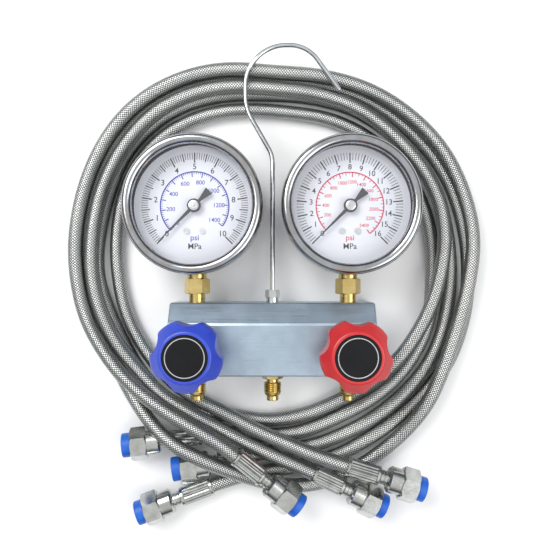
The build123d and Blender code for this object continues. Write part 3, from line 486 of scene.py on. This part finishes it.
HOSES = [
    Hose("hose_1", (1, 6), [
        (-47, -66, 7.2), (-27, -64, 4.8), (-3, -67, 4.8), (21, -64, 4.8), (44, -54, 4.8),
        (65, -43, 4.8), (82, -29, 4.8), (96, -10, 4.8), (104, 10, 4.8), (106, 33, 4.8),
        (106, 57, 4.8), (103, 77, 4.8), (96, 95, 4.8), (83, 114, 4.8), (65, 131, 4.8),
        (39, 144, 4.8), (11, 148, 4.8), (-15, 150, 4.8), (-40, 148, 4.8), (-65, 138, 4.8),
        (-84, 122, 4.8), (-96, 102, 4.8), (-102, 80, 4.8), (-104, 57, 4.8), (-102, 34, 4.8),
        (-97, 13, 4.8), (-87, -6, 5.5), (-75, -21, 9), (-62, -33, 11), (-48, -42, 11),
        (-30, -50, 14.5), (-9, -61, 17), (12, -69, 20.5), (29, -75.5, 23.7), (47, -81, 24)]),
    Hose("hose_2", (2, 5), [
        (-15, -79, 7.2), (5, -76, 4.8), (25, -74, 4.8), (46, -66, 4.8), (67, -55, 4.8),
        (86, -40, 4.8), (102, -22, 4.8), (112, -1, 4.8), (117, 23, 4.8), (118, 49, 4.8),
        (115, 73, 4.8), (109, 96, 4.8), (96, 117, 4.8), (77, 136, 4.8), (53, 151, 4.8),
        (26, 158, 4.8), (-3, 160, 4.8), (-32, 160, 4.8), (-60, 153, 4.8), (-83, 138, 4.8),
        (-100, 118, 4.8), (-110, 92, 4.8), (-116, 65, 4.8), (-117, 41, 4.8), (-110, 18, 4.8),
        (-99, -6, 4.8), (-87, -26, 4.8), (-72, -42, 4.8), (-51, -51, 4.8), (-27, -53, 4.8),
        (-3, -57, 4.8), (21, -53, 4.8), (45, -43, 4.8), (65, -30, 10), (81, -16, 14.7),
        (94, 2, 14.7), (104, 22, 14.7), (110, 46, 14.7), (112, 65, 14.7), (109, 87, 14.7),
        (98, 109, 14.7), (79, 131, 14.7), (55, 149, 14.7), (29, 158, 14.7), (0, 161, 14.7),
        (-29, 163, 14.7), (-56, 157, 14.7), (-79, 144, 14.7), (-98, 122, 14.7), (-111, 96, 14.7),
        (-117, 68, 14.7), (-118, 44, 14.7), (-113, 18, 14.7), (-101, -5, 14.7), (-87, -22, 14.7),
        (-74, -37, 14.7), (-57, -48, 14.7), (-39, -57, 15.5), (-20, -67, 17), (0, -76, 18.6),
        (14.5, -82, 18.6), (26, -87.5, 18.3)]),
    Hose("hose_3", (3, 4), [
        (-40, -99, 7.2), (-22, -93, 4.8), (-1, -90, 4.8), (21, -86, 4.8), (43, -80, 4.8),
        (63, -69, 4.8), (84, -55, 4.8), (102, -38, 4.8), (116, -19, 4.8), (124, 1, 4.8),
        (129, 23, 4.8), (130, 49, 4.8), (127, 73, 4.8), (119, 99, 4.8), (105, 122, 4.8),
        (84, 143, 4.8), (59, 159, 4.8), (30, 167, 4.8), (-2, 170, 4.8), (-34, 170, 4.8),
        (-63, 163, 4.8), (-88, 148, 4.8), (-107, 125, 4.8), (-119, 98, 4.8), (-125, 70, 4.8),
        (-127, 42, 4.8), (-120, 15, 4.8), (-108, -10, 4.8), (-97, -32, 7), (-82, -52, 16),
        (-65, -67, 24.2), (-45, -77, 26), (-26, -86, 20.5), (-5, -95, 13.6), (17, -100, 6.5),
        (40, -96, 4.8), (63, -84, 4.8), (84, -66, 9.5), (101, -44, 14.7), (112, -18, 14.7),
        (121, 9, 14.7), (128, 37, 14.7), (131, 64, 14.7), (125, 92, 14.7), (112, 120, 14.7),
        (92, 142, 14.7), (65, 160, 14.7), (34, 169, 15.3), (2, 171, 15.6), (-30, 174, 15.4),
        (-60, 168, 14.7), (-87, 153, 14.7), (-107, 131, 14.7), (-121, 102, 14.7),
        (-128, 70, 14.7), (-128, 42, 14.7), (-122, 13, 15), (-108, -11, 18), (-91, -30, 22),
        (-70, -45, 25.5), (-47, -58, 28), (-33, -66, 28.3), (-23, -74, 28)]),
]


@dataclass
class Ferrules:
    """The crimped, fluted sleeves on all six hose ends, made as one piece."""

    radius: float = 6.0
    length: float = 21.5
    band: float = 2.2
    flutes: int = 16
    depth: float = 0.5
    squeeze: float = 0.25           # how far the jaws press the ridges in
    rim: float = 0.35               # the rounding of each band's edge
    sides: int = 96
    sharp: float = 28.0

    def sleeve(self, end: Point, neighbour: Point) -> bmesh.types.BMesh:
        """Extrude one sleeve, with its crimping jaws' flutes between two plain bands.

        Args:
            end: where the hose ends, in mm.
            neighbour: the route's point before it.

        Returns:
            The sleeve in metres.
        """
        bm = bmesh.new()
        rim, rest = self.rim, self.length - self.band
        levels = [(0.0, rim, 0), (rim, 0, 0), (self.band - rim, 0, 0), (self.band, 0, 1),
                  (rest, 0, 1), (rest + rim, 0, 0), (self.length - rim, 0, 0),
                  (self.length, rim, 0)]
        bmesh.ops.create_circle(bm, segments=self.sides, radius=1.0, cap_ends=True)
        edges = list(bm.edges)
        for index, (height, inset, crimped) in enumerate(levels):
            if index:
                made = bmesh.ops.extrude_edge_only(bm, edges=edges)["geom"]
                edges = [item for item in made if isinstance(item, bmesh.types.BMEdge)]
            for vertex in {vertex for one in edges for vertex in one.verts}:
                angle = math.atan2(vertex.co.y, vertex.co.x)
                groove = self.depth * max(0.0, math.cos(self.flutes * angle)) * crimped
                reach = self.radius - inset - groove - self.squeeze * crimped
                vertex.co = (reach * math.cos(angle), reach * math.sin(angle), height)
        bmesh.ops.contextual_create(bm, geom=edges)
        bmesh.ops.recalc_face_normals(bm, faces=bm.faces)
        axis = Vector(end) - Vector(neighbour)
        turn = Vector((0, 0, 1)).rotation_difference(axis).to_matrix().to_4x4()
        bm.transform(Matrix.Scale(MM, 4) @ Matrix.Translation(end) @ turn)
        return bm

    def build(self) -> None:
        """Join the six sleeves."""
        joined = bmesh.new()
        for hose in HOSES:
            for end, neighbour in ((hose.route[0], hose.route[1]),
                                   (hose.route[-1], hose.route[-2])):
                one = self.sleeve(end, neighbour)
                mesh = bpy.data.meshes.new("sleeve")
                one.to_mesh(mesh)
                one.free()
                joined.from_mesh(mesh)
                bpy.data.meshes.remove(mesh)
        piece = make_piece("fluted_ferrules", "manifold", joined, [ZINC],
                           self.sharp)
        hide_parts("hose_ferrules")
        LOG.info("ferrules crimped")


# ---------------------------------------------------------------- gauges
@dataclass
class Scale:
    """One printed scale of a dial, from its first mark to its last."""

    top: float
    full_turn: float            # the reading that lies 270 degrees from zero
    labels: Sequence[float]
    minor: float
    middle: float
    major: float
    outer: float                # radius of the marks' outer ends
    lengths: tuple[float, float, float]     # of minor, middle and major marks
    widths: tuple[float, float, float]
    label_radius: float
    label_size: float
    arc: bool = False


@dataclass
class DialPrint:
    """The printing on one dial: a black outer scale and a coloured inner one."""

    side: str
    x: float
    outer: Scale
    inner: Scale
    ink: Finish
    z: float = 33.8                 # the dial's face
    thickness: float = 0.05
    zero: float = 225.0
    sweep: float = 270.0
    arc_width: float = 0.75
    arc_steps: int = 90
    boldness: float = 0.009         # of the lettering, as a share of its size
    units: tuple[tuple[str, float, int], ...] = (("psi", -19.6, 1), ("MPa", -25.0, 0))
    unit_size: float = 5.0

    def angle(self, scale: Scale, reading: float) -> float:
        """Find the direction of a reading.

        Args:
            scale: the scale that it is read on.
            reading: its value.

        Returns:
            The angle in radians from the dial's +X.
        """
        return math.radians(self.zero - self.sweep * reading / scale.full_turn)

    def mark(self, bm: bmesh.types.BMesh, angle: float, outer: float, length: float,
             width: float, ink: int) -> None:
        """Add one radial mark.

        Args:
            bm: the shape that it joins.
            angle: its direction in radians.
            outer: radius of its outer end.
            length: how far it runs inwards.
            width: its width.
            ink: its material index.
        """
        matrix = (Matrix.Rotation(angle, 4, "Z") @ Matrix.Translation((outer - length / 2, 0, 0))
                  @ Matrix.Diagonal((length, width, self.thickness, 1)))
        made = bmesh.ops.create_cube(bm, size=1.0, matrix=matrix)["verts"]
        for face in {face for vertex in made for face in vertex.link_faces}:
            face.material_index = ink

    def write(self, bm: bmesh.types.BMesh, words: str, x: float, y: float, size: float,
              ink: int) -> None:
        """Add upright lettering, centred on a point.

        Args:
            bm: the shape that it joins.
            words: the characters.
            x: across from the dial's centre.
            y: up from the dial's centre.
            size: the font's size in mm.
            ink: its material index.
        """
        curve = bpy.data.curves.new("lettering", "FONT")
        curve.body, curve.size = words, size
        curve.align_x, curve.align_y = "CENTER", "CENTER"
        curve.extrude, curve.resolution_u = self.thickness / 2, 3
        curve.offset = self.boldness * size
        guide = bpy.data.objects.new("lettering", curve)
        bpy.context.scene.collection.objects.link(guide)
        mesh = bpy.data.meshes.new_from_object(guide)
        mesh.transform(Matrix.Translation((x, y, 0)))
        bpy.data.objects.remove(guide)
        first = len(bm.faces)
        bm.from_mesh(mesh)
        bm.faces.ensure_lookup_table()
        for face in bm.faces[first:]:
            face.material_index = ink
        bpy.data.meshes.remove(mesh)

    def scale(self, bm: bmesh.types.BMesh, scale: Scale, ink: int) -> None:
        """Add a scale's marks, numbers and arc.

        Args:
            bm: the shape that it joins.
            scale: what it reads.
            ink: its material index.
        """
        for index in range(round(scale.top / scale.minor) + 1):
            reading = index * scale.minor
            rank = sum(abs(reading / step - round(reading / step)) < ON_MARK
                       for step in (scale.middle, scale.major))
            self.mark(bm, self.angle(scale, reading), scale.outer, scale.lengths[rank],
                      scale.widths[rank], ink)
        for reading in scale.labels:
            angle = self.angle(scale, reading)
            self.write(bm, f"{reading:g}", scale.label_radius * math.cos(angle),
                       scale.label_radius * math.sin(angle), scale.label_size, ink)
        if scale.arc:
            self.arc(bm, scale, ink)

    def arc(self, bm: bmesh.types.BMesh, scale: Scale, ink: int) -> None:
        """Add the line that joins the outer ends of a scale's marks.

        Args:
            bm: the shape that it joins.
            scale: the scale that it belongs to.
            ink: its material index.
        """
        first = len(bm.faces)
        start = Matrix.Rotation(self.angle(scale, 0), 4, "Z")
        half, rise = self.arc_width / 2, self.thickness / 2
        corners = [start @ Vector((scale.outer + dx, 0, dz)) for dx, dz in
                   ((-half, -rise), (half, -rise), (half, rise), (-half, rise))]
        section = bm.faces.new([bm.verts.new(corner) for corner in corners])
        turn = self.angle(scale, scale.top) - self.angle(scale, 0)
        bmesh.ops.spin(bm, geom=[section], cent=(0, 0, 0), axis=(0, 0, 1), angle=turn,
                       steps=self.arc_steps)
        bm.faces.ensure_lookup_table()
        for face in bm.faces[first:]:
            face.material_index = ink

    def build(self) -> None:
        """Make the dial's printing as one piece."""
        bm = bmesh.new()
        self.scale(bm, self.outer, 0)
        self.scale(bm, self.inner, 1)
        for unit, y, ink in self.units:
            self.write(bm, unit, 0, y, self.unit_size, ink)
        bmesh.ops.recalc_face_normals(bm, faces=bm.faces)
        bm.transform(Matrix.Scale(MM, 4) @ Matrix.Translation(
            (self.x, GAUGE_Y, self.z + self.thickness / 2)))
        make_piece(f"{self.side}_dial_print", "manifold", bm,
                   [BLACK_INK, self.ink])
        LOG.info("%s dial printed", self.side)


@dataclass
class Bezel:
    """The rolled steel ring round a gauge, and the pressed hub of its pointer."""

    side: str
    x: float
    ring: tuple[tuple[float, float], ...] = (
        (40.0, 34.5), (41.9, 34.5), (42.35, 34.7), (42.5, 35.2), (42.5, 46.6), (42.25, 48.0),
        (41.5, 49.1), (40.6, 49.75), (39.4, 50.0), (38.2, 49.85), (37.3, 49.4), (36.5, 48.6),
        (36.0, 47.4), (36.0, 46.1), (40.0, 46.1))
    disc: tuple[tuple[float, float], ...] = (
        (0.0, 38.9), (2.9, 38.9), (3.1, 39.05), (3.0, 39.3), (2.3, 39.45), (2.1, 39.25),
        (0.9, 39.25), (0.7, 39.6), (0.0, 39.7))
    ring_segments: int = 128
    disc_segments: int = 48

    def build(self) -> None:
        """Spin the ring, and the bright disc on the pointer's hub."""
        centre = (self.x, GAUGE_Y, 0)
        ring = make_piece(f"{self.side}_bezel_ring", "manifold",
                          lathe(self.ring, centre, self.ring_segments), [STAINLESS])
        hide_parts(f"{self.side}_bezel")
        make_piece(f"{self.side}_hub_disc", f"{self.side}_needle",
                   lathe(self.disc, centre, self.disc_segments), [HUB])
        LOG.info("%s bezel made", self.side)


@dataclass
class BadgeRing:
    """The bright ring printed on the knob's plain disc."""

    side: str
    x: float
    y: float = -6.5
    radius: float = 11.0
    width: float = 0.5
    base: float = 75.97             # just under the disc's face
    rise: float = 0.06

    def build(self) -> None:
        """Spin the ring a hair above the disc."""
        inner, outer = self.radius - self.width / 2, self.radius + self.width / 2
        top = self.base + self.rise
        ring = lathe([(inner, self.base), (outer, self.base), (outer, top), (inner, top)],
                     (self.x, self.y, 0))
        make_piece(f"{self.side}_badge_ring", f"{self.side}_handwheel", ring,
                   [HUB])
        LOG.info("%s badge ringed", self.side)


# ---------------------------------------------------------------- the setting
@dataclass
class Studio:
    """Pale floor, soft light and the camera straight above."""

    camera_height: float = 422.0
    camera_place: tuple[float, float] = (4.75, 36.7)
    focal_px: float = 628.0
    frame_px: float = 560.0
    sensor: float = 36.0
    near: float = 0.01
    card: str = "#FAFAFA"
    card_roughness: float = 0.9
    card_half: float = 3.0          # metres
    card_drop: float = 0.1          # below the hoses, in mm
    boxes: tuple = (("key", (-0.55, 0.55, 0.95), 0.7, 9.5),
                    ("fill", (0.75, -0.25, 0.9), 0.8, 5.0))
    aim: Point = (0, 0.03, 0)
    sky: tuple = ((0.0, "#25292E"), (0.4, "#7C8289"), (0.75, "#FFFFFF"))
    sky_strength: float = 0.9

    def build(self) -> None:
        """Make the floor, lights, world and camera."""
        scene = bpy.context.scene
        scene.view_settings.view_transform = "Standard"
        camera = bpy.data.cameras.new("camera")
        camera.sensor_width = self.sensor
        camera.lens = self.focal_px * self.sensor / self.frame_px
        camera.clip_start = self.near
        holder = bpy.data.objects.new("camera", camera)
        holder.location = (self.camera_place[0] * MM, self.camera_place[1] * MM,
                           self.camera_height * MM)
        scene.collection.objects.link(holder)
        scene.camera = holder
        self.floor()
        self.lamps()
        self.world()
        LOG.info("studio set")

    def floor(self) -> None:
        """Make the pale floor."""
        bm = bmesh.new()
        bmesh.ops.create_grid(bm, x_segments=1, y_segments=1, size=self.card_half)
        mesh = bpy.data.meshes.new("floor")
        bm.to_mesh(mesh)
        bm.free()
        material = bpy.data.materials.new("white_card")
        material.use_nodes = True
        shader = material.node_tree.nodes["Principled BSDF"]
        shader.inputs["Base Color"].default_value = linear(self.card)
        shader.inputs["Roughness"].default_value = self.card_roughness
        mesh.materials.append(material)
        floor = bpy.data.objects.new("floor", mesh)
        floor.location = (0, 0, -self.card_drop * MM)
        bpy.context.scene.collection.objects.link(floor)

    def lamps(self) -> None:
        """Hang soft boxes above the bench."""
        for name, place, size, power in self.boxes:
            light = bpy.data.lights.new(name, "AREA")
            light.shape, light.size, light.energy = "SQUARE", size, power
            lamp = bpy.data.objects.new(name, light)
            lamp.location = place
            aim = Vector(self.aim) - Vector(place)
            lamp.rotation_euler = aim.to_track_quat("-Z", "Y").to_euler()
            bpy.context.scene.collection.objects.link(lamp)

    def world(self) -> None:
        """Surround it with a studio that is white overhead and darker at the horizon."""
        world = bpy.data.worlds.new("studio")
        bpy.context.scene.world = world
        world.use_nodes = True
        tree = world.node_tree
        place = add(tree, "SeparateXYZ", {0: add(tree, "TexCoord").outputs["Generated"]})
        ramp = add(tree, "ValToRGB", {0: place.outputs[2]})
        stops = ramp.color_ramp.elements
        stops.new(self.sky[1][0])
        for stop, (height, colour) in zip(stops, self.sky):
            stop.position, stop.color = height, linear(colour)
        tree.links.new(ramp.outputs[0], tree.nodes["Background"].inputs["Color"])
        tree.nodes["Background"].inputs["Strength"].default_value = self.sky_strength


LOW_OUTER = Scale(
    top=10, full_turn=10, labels=range(11), minor=0.1, middle=0.5, major=1, outer=33.0,
    lengths=(4.2, 5.2, 6.2), widths=(0.36, 0.65, 0.8), label_radius=24.3, label_size=5.0)
LOW_INNER = Scale(
    top=1400, full_turn=1450.4, labels=range(0, 1401, 200), minor=20, middle=100, major=100,
    outer=21.2, lengths=(1.4, 3.0, 3.2), widths=(0.38, 0.5, 0.65), label_radius=14.9,
    label_size=3.7, arc=True)
HIGH_OUTER = Scale(
    top=16, full_turn=16, labels=range(17), minor=0.2, middle=1, major=1, outer=33.0,
    lengths=(4.6, 6.2, 6.2), widths=(0.36, 0.65, 0.8), label_radius=24.1, label_size=4.8)
HIGH_INNER = Scale(
    top=2400, full_turn=2320.6, labels=range(0, 2401, 200), minor=50, middle=100, major=200,
    outer=20.9, lengths=(1.1, 1.9, 3.0), widths=(0.38, 0.5, 0.65), label_radius=14.9,
    label_size=3.0, arc=True)


def main() -> None:
    """Load the frame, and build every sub-assembly in order."""
    logging.basicConfig(level=logging.INFO)
    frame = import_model()
    Studio().build()
    for hose in HOSES:
        hose.build(frame["nodes"])
    Ferrules().build()
    for name, node in frame["nodes"].items():
        material = finish_of(name).material()
        for slot in node.material_slots:
            slot.material = material
    DialPrint("left", -GAUGE_X, LOW_OUTER, LOW_INNER, BLUE_INK).build()
    DialPrint("right", GAUGE_X, HIGH_OUTER, HIGH_INNER, RED_INK).build()
    for side, x in SIDES:
        Bezel(side, x).build()
        BadgeRing(side, x).build()


if __name__ == "__main__":
    main()
